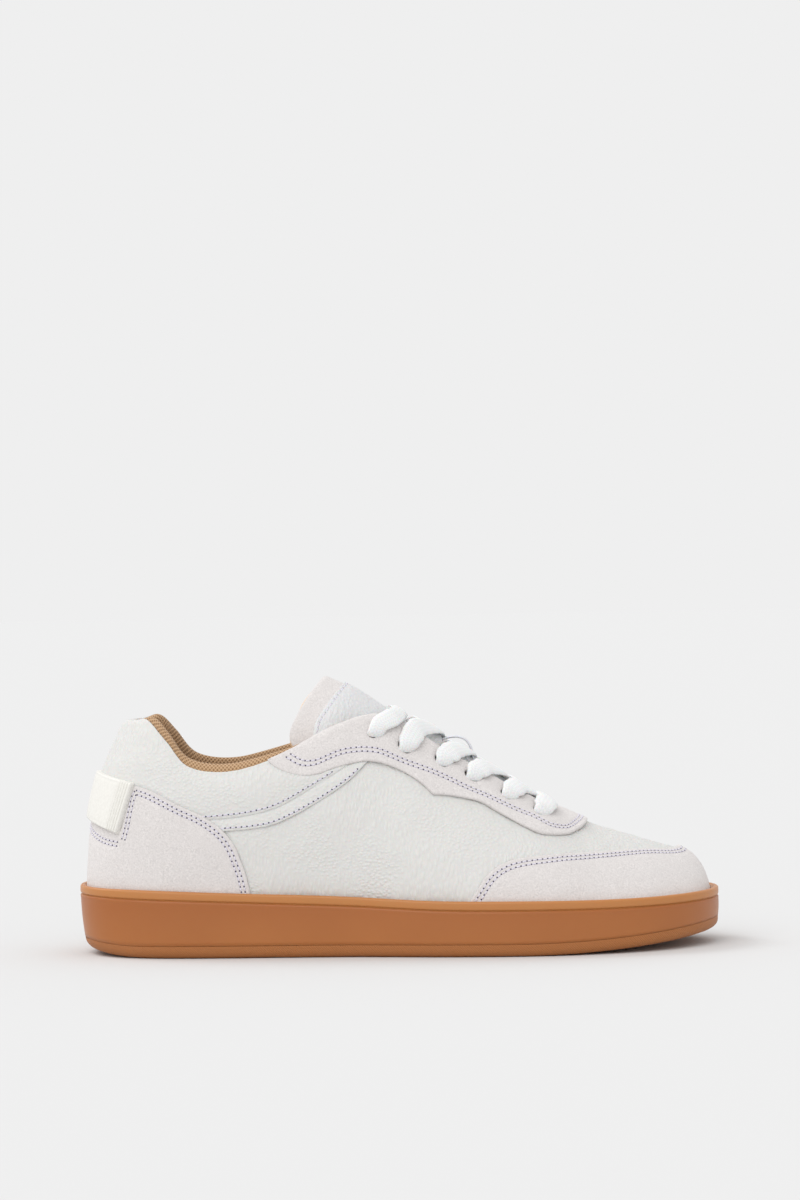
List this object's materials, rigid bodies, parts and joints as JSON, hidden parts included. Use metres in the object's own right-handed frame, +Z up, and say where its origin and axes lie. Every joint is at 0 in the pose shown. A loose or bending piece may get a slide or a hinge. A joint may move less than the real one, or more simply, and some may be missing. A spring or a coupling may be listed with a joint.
{
  "type": "court shoe",
  "caption": "Low laced court shoe for a right foot: gum cup sole, white leather and pale suede upper, padded mesh collar, tongue and removable footbed.",
  "frame": {"origin": "centre of the overall box, on the floor under the sole", "axes": "+X towards the toe, +Y towards the inner (medial) side, +Z up"},
  "size_m": [0.2804, 0.1008, 0.1193],
  "materials": {
    "gum_rubber": "matte gum rubber with a fine texture",
    "eva_foam": "closed-cell foam",
    "board": "stitched textile board",
    "insole_foam": "open-cell foam",
    "insole_cloth": "tan knitted cloth",
    "white_leather": "tumbled, satin",
    "pale_suede": "brushed nap, very light grey",
    "cream_rubber": "moulded, satin",
    "tape": "woven tape",
    "stiffener": "thermoformed sheet",
    "collar_foam": "open-cell foam",
    "tan_mesh": "tan spacer mesh",
    "cream_lining": "thin woven lining",
    "tongue_cloth": "peach brushed lining",
    "lace_cotton": "flat woven cotton lace",
    "aglet_film": "clear-coated film"
  },
  "bodies": {
    "shoe": {"cupsole": "gum_rubber", "midsole": "eva_foam", "lasting_board": "board", "vamp_quarters": "white_leather", "collar_panel": "white_leather", "stripe_lateral": "white_leather", "stripe_medial": "white_leather", "heel_overlay": "pale_suede", "toe_overlay": "pale_suede", "eyestay": "pale_suede", "eyelet_tape": "tape", "heel_tab": "cream_rubber", "heel_counter": "stiffener", "toe_puff": "stiffener", "collar_foam": "collar_foam", "collar_lining": "tan_mesh", "vamp_lining": "cream_lining", "tongue_face": "white_leather", "tongue_foam": "collar_foam", "tongue_lining": "tongue_cloth", "lace_keeper": "white_leather", "shoelace": "lace_cotton", "aglets": "aglet_film"},
    "footbed": {"footbed_foam": "insole_foam", "footbed_cover": "insole_cloth"},
    "tongue_top": {"tongue_top_face": "pale_suede", "tongue_top_foam": "collar_foam", "tongue_top_lining": "tongue_cloth"}
  },
  "joints": [
    {"name": "tongue_top_flex", "type": "hinge", "parent": "shoe", "child": "tongue_top", "pos_m": [-0.0084, 0, 0.1018], "axis": [0, 1, 0], "range_deg": [-8, 15], "stiffness_Nm_per_rad": 0.25},
    {"name": "footbed_lift", "type": "hinge", "parent": "shoe", "child": "footbed", "pos_m": [0.13, 0, 0.0158], "axis": [0, 1, 0], "range_deg": [0, 4]}
  ]
}
